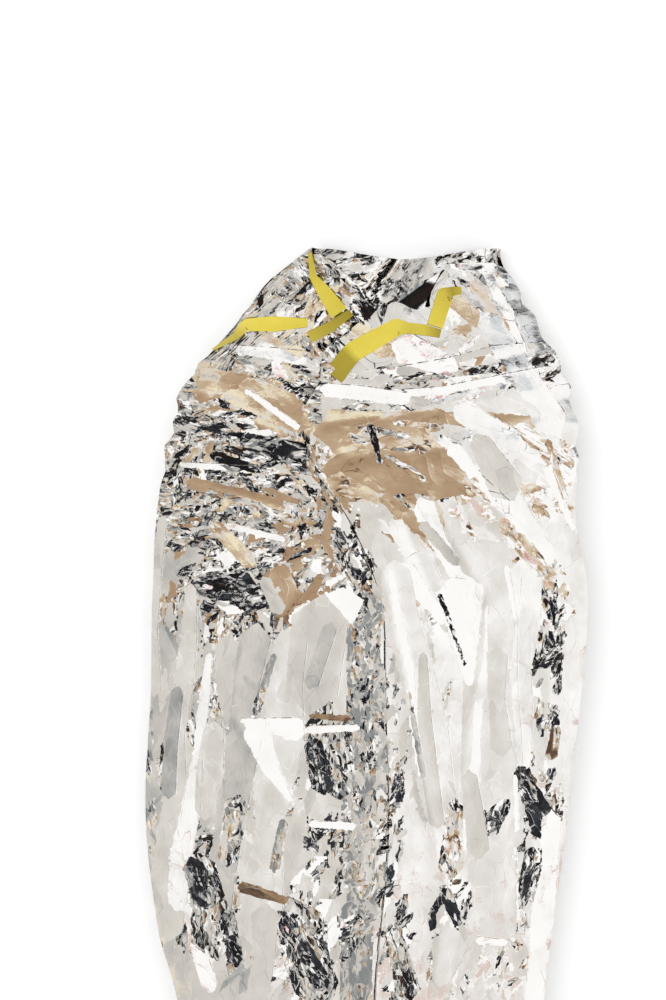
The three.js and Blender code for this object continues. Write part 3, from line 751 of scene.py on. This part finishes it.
def crumpledFacets(place, pick):
    # Kite-shaped facets scattered over an oval place, most of them along its own direction.
    names = list(mixtures[place["mixture"]])
    parts = np.array([mixtures[place["mixture"]][name] for name in names], float)
    count = int(crumpleCover * place["wide"] * place["high"] / (place["long"] * place["thin"]))
    found = []
    for k in range(count):
        away, way = math.sqrt(pick.random()), pick.uniform(0, 2 * math.pi)
        cx = place["x"] + 0.5 * place["wide"] * away * math.cos(way)
        cy = place["y"] + 0.5 * place["high"] * away * math.sin(way)
        turn = math.radians(place["turn"] + pick.normal(0, 22))
        long, thin = (place[key] * pick.uniform(0.5, 1.5) / 2 for key in ("long", "thin"))
        skew = pick.uniform(-0.6, 0.6) * long
        kite = [(-long, 0), (skew, thin), (long, 0), (-skew, -thin)]
        found.append((str(pick.choice(names, p=parts / parts.sum())),
                      [(cx + a * math.cos(turn) - b * math.sin(turn),
                        cy + a * math.sin(turn) + b * math.cos(turn))
                       for a, b in kite]))
    return found


def heightMap():
    xs = np.arange(-relief["half"], relief["half"] + 0.1, relief["cell"])
    ys = np.arange(bag["foot"] - 6, relief["high"], relief["cell"])
    x, y = np.meshgrid(xs, ys)
    arch = archHeight(x, y)
    return xs, ys, x, y, arch, arch + foldHeight(x, y)


xs, ys, gridX, gridY, arch, base = heightMap()
inside = (gridX > leftEdge(gridY)) & (gridX < rightEdge(gridY))
fromRim = np.minimum(gridX - leftEdge(gridY), rightEdge(gridY) - gridX)


def depthIn(corners, x, y):
    # How far a place is inside a panel, less than nothing outside it.
    c = np.array(corners, float)
    nextC = np.roll(c, -1, axis=0)
    area = ((nextC[:, 0] - c[:, 0]) * (nextC[:, 1] + c[:, 1])).sum()
    deep = None
    for (x0, y0), (x1, y1) in zip(c, nextC):
        span = math.hypot(x1 - x0, y1 - y0) or 1
        off = ((x - x0) * (y1 - y0) - (y - y0) * (x1 - x0)) / span * (1 if area > 0 else -1)
        deep = off if deep is None else np.minimum(deep, off)
    return deep


def panelAt(x, y):
    # The number of the panel on top at each place, or none.
    top = np.full(np.shape(x), -1)
    for k, panel in enumerate(panelRows):
        low, high = panel["corners"].min(0), panel["corners"].max(0)
        near = (x >= low[0]) & (x <= high[0]) & (y >= low[1]) & (y <= high[1])
        if near.any():
            top[near] = np.where(depthIn(panel["corners"], x[near], y[near]) > 0, k, top[near])
    return top


rng = np.random.default_rng(7)
laid = [(row[0], foldCorners(dict(zip(foldColumns, row)))) for row in grounds]
for row in crumples:
    laid += crumpledFacets(dict(zip(crumpleColumns, row)), rng)
foldRng = np.random.default_rng(19)
folded = [(row[0],
           foldCorners(part)) for row in mainFolds for part in foldParts(dict(zip(foldColumns, row)), foldRng)]
laid += folded
panelRows = []
for face, places in laid:
    corners = np.array(places, float)
    ways = np.roll(corners, -1, axis=0) - corners
    longest = ways[np.argmax((ways ** 2).sum(1))]
    lean = np.array(faces[face][:2]) + rng.uniform(-1, 1, 2) * (0.014, 0.008)
    panelRows.append({"corners": corners, "lean": lean, "crush": faces[face][2],
                      "turn": -math.atan2(longest[1], longest[0])})
ground = {"lean": np.zeros(2), "crush": 0.3, "turn": 1.4}
print(len(panelRows), "panels are laid out")

slopeX, slopeY = np.gradient(arch, relief["cell"], axis=1), np.gradient(arch, relief["cell"], axis=0)
foldX, foldY = np.gradient(base, relief["cell"], axis=1), np.gradient(base, relief["cell"], axis=0)
wantX, wantY = foldX.copy(), foldY.copy()
weight = np.full(base.shape, relief["calm"])
crush = 0.3 + 0 * base
topPanel = np.where(inside, panelAt(gridX, gridY), -1)
for k in np.unique(topPanel[topPanel >= 0]):
    here = topPanel == k
    wantX[here] = slopeX[here] - panelRows[k]["lean"][0]
    wantY[here] = slopeY[here] - panelRows[k]["lean"][1]
    weight[here] = 1.0
    crush[here] = panelRows[k]["crush"]


def settle(start, wx, wy, pull, gx, gy, turns):
    # Heights whose slopes come closest to the wanted ones, held near the start.
    cell = relief["cell"]
    ax, ay = (wx[:, 1:] + wx[:, :-1]) / 2, (wy[1:] + wy[:-1]) / 2
    tx, ty = cell * (gx[:, 1:] + gx[:, :-1]) / 2, cell * (gy[1:] + gy[:-1]) / 2

    def spread(fx, fy):
        out = np.zeros_like(start)
        out[:, 1:] += fx
        out[:, :-1] -= fx
        out[1:] += fy
        out[:-1] -= fy
        return out

    def pulled(h):
        return spread(ax * (h[:, 1:] - h[:, :-1]), ay * (h[1:] - h[:-1])) + pull * h

    h = start.copy()
    r = spread(ax * tx, ay * ty) + pull * start - pulled(h)
    d, size = r.copy(), float((r * r).sum())
    for turn in range(turns):
        q = pulled(d)
        step = size / float((d * q).sum())
        h += step * d
        r -= step * q
        new = float((r * r).sum())
        if new < 1e-6:
            break
        d, size = r + new / size * d, new
    return h


upper = ys > relief["low"]
hold = np.where(inside, relief["hold"] + 0.6 * (1 - ease(fromRim, 4, 22)), 5.0)
hold = hold + 0.6 * (1 - ease(gridY, relief["low"], relief["low"] + 60))
lie = base.copy()
weight = weight * ease(fromRim, 2, 16) + 0.01
lie[upper] = settle(base[upper], weight[upper], weight[upper], hold[upper], wantX[upper], wantY[upper], 500)
print("the front's lie is settled")


def facetHeights(spacing, stretch, seed):
    # Flat facets between scattered points of random height.
    pick = np.random.default_rng(seed)
    low, high = (-relief["half"], relief["low"] - 40), (relief["half"], relief["high"])
    stepX, stepY = spacing * stretch, spacing / stretch
    points = []
    for k, px in enumerate(np.arange(low[0] - stepX, high[0] + 2 * stepX, stepX)):
        for py in np.arange(low[1] - stepY, high[1] + 2 * stepY, stepY):
            if pick.random() < 0.82:
                points.append((px + pick.uniform(-0.5, 0.5) * stepX, py + pick.uniform(-0.5, 0.5) * stepY))
    places = [Vector((px / stretch, py * stretch)) for px, py in points]
    heights = pick.normal(0, 1, len(points))
    found = geometry.delaunay_2d_cdt(places, [], [], 0, 1e-6)
    out = np.zeros(gridX.shape)
    for tri in found[2]:
        corners = [found[0][k] for k in tri]
        cx = np.array([c.x * stretch for c in corners])
        cy = np.array([c.y / stretch for c in corners])
        cz = np.array([heights[found[3][k][0]] if found[3][k] else 0.0 for k in tri])
        j0, j1 = np.searchsorted(xs, [cx.min(), cx.max()])
        i0, i1 = np.searchsorted(ys, [cy.min(), cy.max()])
        if j1 <= j0 or i1 <= i0:
            continue
        px, py = gridX[i0:i1, j0:j1], gridY[i0:i1, j0:j1]
        det = (cy[1] - cy[2]) * (cx[0] - cx[2]) + (cx[2] - cx[1]) * (cy[0] - cy[2])
        if abs(det) < 1e-9:
            continue
        a = ((cy[1] - cy[2]) * (px - cx[2]) + (cx[2] - cx[1]) * (py - cy[2])) / det
        b = ((cy[2] - cy[0]) * (px - cx[2]) + (cx[0] - cx[2]) * (py - cy[2])) / det
        within = (a >= -1e-6) & (b >= -1e-6) & (a + b <= 1 + 1e-6)
        value = a * cz[0] + b * cz[1] + (1 - a - b) * cz[2]
        out[i0:i1, j0:j1][within] = value[within]
    return out


gathered = ease(gridY, 650, 760)
calmRim = ease(fromRim, 2, 24)
facets = np.zeros(base.shape)
for spacing, deep, floorShare, seed in ((30, 2.2, 0.25, 11), (13, 1.25, 0.0, 12)):
    acrossWay = facetHeights(spacing, 1.7, seed)
    alongWay = facetHeights(spacing, 0.65, seed + 40)
    facets += deep * (floorShare + (1 - floorShare) * crush) * mix(alongWay, acrossWay, gathered)
lie += facets * calmRim * ease(gridY, 60, 200)
print("the facets are folded")


def sample(table, x, y):
    fx = np.clip((x - xs[0]) / relief["cell"], 0, len(xs) - 1.001)
    fy = np.clip((y - ys[0]) / relief["cell"], 0, len(ys) - 1.001)
    j, i = fx.astype(int), fy.astype(int)
    u, v = fx - j, fy - i
    return (table[i, j] * (1 - u) * (1 - v) + table[i, j + 1] * u * (1 - v)
            + table[i + 1, j] * (1 - u) * v + table[i + 1, j + 1] * u * v)


# One long edge of each pale, level, shaded or white part of a fold is pressed hard.
creases = []
for face, corners in folded:
    if face in ("pale", "level", "shade", "white"):
        long = max(math.dist(corners[1], corners[2]), 1)
        creases.append((corners[1], corners[2], 0.4 + min(long, 200) / 400))


def creaseField(x, y):
    best = np.full(x.shape, 9.0)
    turnX, turnY, signed = np.zeros(x.shape), np.zeros(x.shape), np.full(x.shape, 9.0)
    for (x0, y0), (x1, y1), hard in creases:
        dx, dy = x1 - x0, y1 - y0
        span = math.hypot(dx, dy)
        nx, ny = -dy / span, dx / span
        along = ((x - x0) * dx + (y - y0) * dy) / span
        off = (x - x0) * nx + (y - y0) * ny
        near = (np.abs(off) < best) & (along > -2) & (along < span + 2)
        best = np.where(near, np.abs(off), best)
        signed = np.where(near, off, signed)
        turnX = np.where(near, nx * hard, turnX)
        turnY = np.where(near, ny * hard, turnY)
    return turnX, turnY, signed


def gridPiece(name, px, py, pz, filmU, filmV, material):
    rows, cols = px.shape
    bm = bmesh.new()
    bmesh.ops.create_grid(bm, x_segments=cols - 1, y_segments=rows - 1, size=1)
    bm.verts.ensure_lookup_table()
    start = np.array([v.co[:2] for v in bm.verts])
    col = np.rint((start[:, 0] + 1) / 2 * (cols - 1)).astype(int)
    row = np.rint((start[:, 1] + 1) / 2 * (rows - 1)).astype(int)
    piece = newPiece(name, bm, material)
    mesh = piece.data
    places = np.stack([px[row, col], py[row, col], pz[row, col]], 1) * mm
    mesh.vertices.foreach_set("co", places.ravel())
    corner = np.empty(len(mesh.loops), int)
    mesh.loops.foreach_get("vertex_index", corner)
    uv = mesh.uv_layers.new(name="film")
    flat = np.stack([filmU[row, col], filmV[row, col]], 1)[corner] * mm
    uv.data.foreach_set("uv", flat.ravel())
    mesh.update()
    return piece, row[corner], col[corner]


def mark(piece, name, x, y, z):
    layer = piece.data.attributes.new(name, "FLOAT_VECTOR", "CORNER")
    layer.data.foreach_set("vector", np.stack([x, y, z], 1).astype(np.float32).ravel())


def markFaces(piece, px, py, row, col):
    # For each corner, the lean of the panel on top, of the one beside it, and the side it is on.
    vertexTop = panelAt(px, py)
    middle = panelAt(*((a[1:, 1:] + a[:-1, 1:] + a[1:, :-1] + a[:-1, :-1]) / 4 for a in (px, py)))
    around = np.stack([vertexTop[1:, 1:], vertexTop[:-1, 1:], vertexTop[1:, :-1], vertexTop[:-1, :-1],
                       middle])
    upper = around.max(0)
    lower = np.where(around < upper, around, -2).max(0)
    lower = np.where(lower < -1, upper, lower)
    faceRow, faceCol = row.reshape(-1, 4).min(1), col.reshape(-1, 4).min(1)
    upper, lower = np.repeat(upper[faceRow, faceCol], 4), np.repeat(lower[faceRow, faceCol], 4)
    x, y = px[row, col], py[row, col]
    side = np.ones(len(x))
    for k in np.unique(upper[upper != lower]):
        here = (upper == k) & (upper != lower)
        side[here] = depthIn(panelRows[k]["corners"], x[here], y[here])
    leans = np.array([p["lean"] for p in panelRows] + [ground["lean"]])
    crushes = np.array([p["crush"] for p in panelRows] + [ground["crush"]])
    turns = np.array([p["turn"] for p in panelRows] + [ground["turn"]])
    ownX = relief["own"] * sample(slopeX, x,
                                  y) + relief["fold"] * (sample(foldX, x, y) - sample(slopeX, x, y))
    ownY = relief["own"] * sample(slopeY, x,
                                  y) + relief["fold"] * (sample(foldY, x, y) - sample(slopeY, x, y))
    limit = relief["leanMost"]
    ownX, ownY = np.clip(ownX, -limit, limit), np.clip(ownY, -limit, limit)
    for name, which in (("upperFace", upper), ("lowerFace", lower)):
        mark(piece, name, leans[which, 0] - ownX, leans[which, 1] - ownY, crushes[which])
    mark(piece, "faceSide", turns[upper], turns[lower], side)


def markShown(piece, values):
    layer = piece.data.attributes.new("shown", "FLOAT", "CORNER")
    layer.data.foreach_set("value", np.asarray(values, np.float32))


front = {"leftCols": 78, "rightCols": 80, "fine": 3.1, "coarse": 9, "fineFrom": 120, "stand": 4}


def frontSheet():
    rowY = np.concatenate([np.arange(bag["foot"], front["fineFrom"], front["coarse"]),
                           np.arange(front["fineFrom"], bag["mouthTop"] + 0.1, front["fine"])])
    rowY[-1] = bag["mouthTop"]
    pitch = bag["layerPitch"]
    wave = np.random.default_rng(5)
    jag = np.interp(np.arange(-260, 261, 1.0), np.arange(-260, 270, 9.0), wave.uniform(-3.2, 2.2, 59))

    def mouth(table, x):
        return smoothLine(table, "x", "y", x) + np.interp(x, np.arange(-260, 261, 1.0), jag)

    def lowDrop(x, y):
        pressed = 2 * pitch * ease(x, lapEdge(y) - 30, lapEdge(y))
        return pressed + ease(x, lapEdge(y) - 20, lapEdge(y) + 45) * roomAt(y) * bag["layerSag"]

    def midDrop(x, y):
        return mix(pitch, bag["layerSag"], ease(x, lapEdge(y), lapEdge(y) + 45) * roomAt(y))

    def stand(x, y):
        return front["stand"] * np.exp(-np.clip(x - lapEdge(y), 0, 99) / 14) * roomAt(y)

    columns = []
    for k in range(front["leftCols"]):
        s = (k / (front["leftCols"] - 1)) ** 1.12
        columns.append((mouthLeft, lambda y, s=s: mix(leftEdge(y), lapEdge(y) - 2, s), lowDrop, 0, 0))
    for step in (3, 8, 15, 24, 36, 50):
        columns.append((mouthLeft, lambda y, step=step: lapEdge(y) + step, lowDrop, 0, 0))
    columns.append((mouthLeft, hiddenEdge, lowDrop, 0, 0))
    columns.append((mouthRight, lambda y: hiddenEdge(y) + 2.4, lambda x,
                    y: (lowDrop(x, y) + midDrop(x, y)) / 2, 0, 0))
    columns.append((mouthRight, hiddenEdge, midDrop, 0, 0))
    for step in (50, 36, 24, 15, 8, 4):
        columns.append((mouthRight, lambda y, step=step: lapEdge(y) + step, midDrop, 0, 1))
    for step, drop in ((1.4, 2.5), (0.4, 1.6), (1.4, 0.7)):
        columns.append((mouthRight, lambda y, step=step: lapEdge(y) + step, lambda x, y,
                        drop=drop: drop + 0 * x, 1, 1))
    for k in range(front["rightCols"]):
        s = 1 - (1 - k / (front["rightCols"] - 1)) ** 1.12
        columns.append((mouthRight, lambda y, s=s: mix(lapEdge(y) + 4, rightEdge(y), s), lambda x,
                        y: 0 * x, 1, 1))

    px = np.empty((len(rowY), len(columns)))
    py, pz = np.empty(px.shape), np.empty(px.shape)
    for j, (table, across, drop, top, standing) in enumerate(columns):
        y = rowY.copy()
        x = across(y)
        for turn in range(5):
            reach = (mouth(table, x) - bag["collarStart"]) / (bag["mouthTop"] - bag["collarStart"])
            y = np.where(rowY > bag["collarStart"],
                         bag["collarStart"] + (rowY - bag["collarStart"]) * reach, rowY)
            x = across(y)
        px[:, j], py[:, j] = x, y
        pz[:, j] = sample(lie, x, y) - drop(x, y) + standing * stand(x, y)
    hidden = front["leftCols"] + 6
    filmU, filmV = px.copy(), py.copy()
    filmU[:, hidden + 1:] = 2 * px[:, hidden:hidden + 1] - px[:, hidden + 1:]
    onTop = np.array([c[3] == 1 for c in columns])
    filmU[:, onTop] = px[:, onTop] + 900
    piece, row, col = gridPiece("frontFilm", px, py, pz, filmU, filmV, filmFinish)
    markFaces(piece, px, py, row, col)
    turnX, turnY, signed = creaseField(px, py)
    shown = np.array([1.0 if c[3] or (c[0] is mouthLeft and c[2] is lowDrop and k < front["leftCols"]) else 0.0
                      for k, c in enumerate(columns)])
    mark(piece, "crease", turnX[row, col] * shown[col], turnY[row, col] * shown[col], signed[row, col])
    markShown(piece, shown[col])
    return piece


frontFilm = frontSheet()
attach(frontFilm, "root")
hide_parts("front_panel")
print("the front sheet is made:", len(frontFilm.data.polygons) * 2, "triangles")


# The back sheet lies flat and is tucked under at both sides.
back = {"step": 7, "coarse": 24, "fineFrom": 820, "tuck": 112, "pitch": 3.2, "low": 0.5, "across": 34}


def backSheet():
    rowY = np.concatenate([np.arange(bag["foot"], back["fineFrom"], back["coarse"]),
                           np.arange(back["fineFrom"], 1050.1, back["step"])])
    first, second, third = (back["low"] + k * back["pitch"] for k in range(3))
    rowsX, rowsZ = [], []
    for y in rowY:
        left, right = leftEdge(y), rightEdge(y)
        half = (right - left) / 2
        tuck = min(back["tuck"], 0.72 * half)
        rim = backRim(y)
        sag = mix(third, first, openAt(y))
        side = [(0, rim), (0.6, rim * 0.82), (1.5, rim * 0.6), (3, rim * 0.38), (5, rim * 0.22), (12, first)]
        side += [(mix(12, tuck, s), first) for s in (0.25, 0.5, 0.75)]
        side += [(tuck, first), (tuck + 1.4, first + 0.7), (tuck + 1.4, second - 0.7), (tuck, second)]
        side += [(mix(tuck, 17, s), second) for s in (0.25, 0.5, 0.75)]
        side += [(17, second), (15.6, second + 0.7), (15.6, third - 0.7), (17, third)]
        side += [(mix(17, tuck + 6, s), third) for s in (0.14, 0.28, 0.42, 0.56, 0.7, 0.85, 1)]
        side += [(mix(tuck + 6, half, s), mix(third, sag, ease(s, 0, 0.7))) for s in (0.2, 0.4, 0.6, 0.8)]
        rowsX.append([left + s[0] for s in side] + [right - s[0] for s in reversed(side)])
        rowsZ.append([s[1] for s in side] + [s[1] for s in reversed(side)])
    px, pz = np.array(rowsX), np.array(rowsZ)
    share = np.clip((px - px[:, :1]) / (px[:, -1:] - px[:, :1]), 0, 1)
    py = rowY[:, None] - bag["backDip"] * ease(rowY, 900, 1050)[:, None] * np.sin(np.pi * share) ** 2
    ruck = np.random.default_rng(31).uniform(0, 2.6, px.shape)
    inner = (pz >= third - 1e-6) & (px > px[:, :1] + 20) & (px < px[:, -1:] - 20)
    inner |= np.abs(share - 0.5) < 0.2
    pz = pz + np.where(inner, ruck * ease(rowY, 760, 860)[:, None], 0)
    width = np.hypot(np.diff(px[len(rowY) // 2]), np.diff(pz[len(rowY) // 2]))
    filmU = np.tile(np.concatenate([[0], np.cumsum(width)]), (len(rowY), 1)) + 1200
    filmV = np.tile(rowY[:, None], (1, px.shape[1]))
    # Taken from right to left, so that the faces under the bag look down.
    px, py, pz, filmU, filmV = (a[:, ::-1] for a in (px, py, pz, filmU, filmV))
    piece, row, col = gridPiece("backFilm", px, py, pz, filmU, filmV, filmFinish)
    none = np.zeros(len(row))
    for name in ("upperFace", "lowerFace"):
        mark(piece, name, none, none - 0.03, none + 0.42)
    mark(piece, "faceSide", none, none, none + 1)
    mark(piece, "crease", none, none, none + 9)
    markShown(piece, none)
    return piece


backFilm = backSheet()
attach(backFilm, "root")
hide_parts("back_panel")
print("the back sheet is made:", len(backFilm.data.polygons) * 2, "triangles")


# The yellow tape, in the runs that the gathers leave in sight: the middle of each run, how wide
# it shows there, and how much shade is painted on it.
tape = {"across": 7, "step": 2.0, "lift": 1.4}
tapeColumns = ("x", "y", "wide", "dark")
tapeRuns = [
    {"name": "tapeLeftNeck", "node": "tape_left_neck", "lift": 2.2, "rows": [
        (-62, 1036, 4, 0.6), (-58, 1008, 8, 0.3), (-48, 994, 14, 0.1), (-30, 968, 20, 0.2)]},
    {"name": "tapeLeftLower", "node": "tape_left_lower", "lift": 0.0, "rows": [
        (-62, 942, 12, 0.5), (-40, 953, 12, 0.7), (-17, 969, 8, 0.9)]},
    {"name": "tapeLeftShoulder", "node": "tape_left_shoulder", "lift": 0.0, "rows": [
        (-64, 958, 9, 0.1), (-100, 957, 17, 0), (-132, 957, 14, 0.1), (-142, 945, 9, 0.6),
        (-168, 931, 3, 0.5)]},
    {"name": "tapeRight", "node": "tape_right", "lift": 0.0, "rows": [
        (-36, 899, 22, 0.8), (-20, 921, 22, 0.7), (-14, 927, 22, 0), (32, 953, 19, 0), (44, 952, 12, 0.2),
        (62, 950, 12, 0.2), (79, 946, 9, 0.8)]},
    {"name": "tapeRightNeck", "node": "tape_right_neck", "lift": 2.2, "rows": [
        (102, 993, 8, 0.5), (92, 992, 10, 0.8), (84, 988, 18, 0.3), (73, 954, 17, 0)]},
]


def tapeStrip(run):
    rows = np.array(run["rows"], float)
    table = {key: rows[:, k] for k, key in enumerate(tapeColumns)}
    reached = np.concatenate([[0], np.cumsum(np.hypot(np.diff(table["x"]), np.diff(table["y"])))])
    along = np.unique(np.concatenate([reached, np.arange(0, reached[-1], tape["step"])]).round(3))
    line = {key: np.interp(along, reached, values)[:, None] for key, values in table.items()}
    dx, dy = np.gradient(line["x"][:, 0], along), np.gradient(line["y"][:, 0], along)
    span = np.hypot(dx, dy)
    s = np.linspace(-0.5, 0.5, tape["across"])[None, :] * line["wide"]
    px, py = line["x"] - (dy / span)[:, None] * s, line["y"] + (dx / span)[:, None] * s
    dark = line["dark"] + 0 * s
    around = [sample(lie, px + ax, py + ay) for ax in (-6, -2, 2, 6) for ay in (-6, -2, 2, 6)]
    pz = np.mean(around, axis=0) * 0.6 + np.max(around, axis=0) * 0.4 + tape["lift"] + run["lift"]
    # The run is taken across from its other side where it would face down.
    up = (px[0, 1] - px[0, 0]) * (py[1, 0] - py[0, 0]) - (py[0, 1] - py[0, 0]) * (px[1, 0] - px[0, 0])
    if up < 0:
        px, py, pz, dark, s = (values[:, ::-1] for values in (px, py, pz, dark, s))
    piece, row, col = gridPiece(run["name"], px, py, pz, s, along[:, None] + 0 * s, tapeFinish)
    # The dark column becomes the tape's painted shade, kept as its shade value.
    layer = piece.data.attributes.new("shade", "FLOAT", "CORNER")
    layer.data.foreach_set("value", dark[row, col].astype(np.float32))
    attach(piece, "root")
    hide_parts(run["node"])
    return piece


tapes = [tapeStrip(run) for run in tapeRuns]
print("the tape is laid")

print("finished")
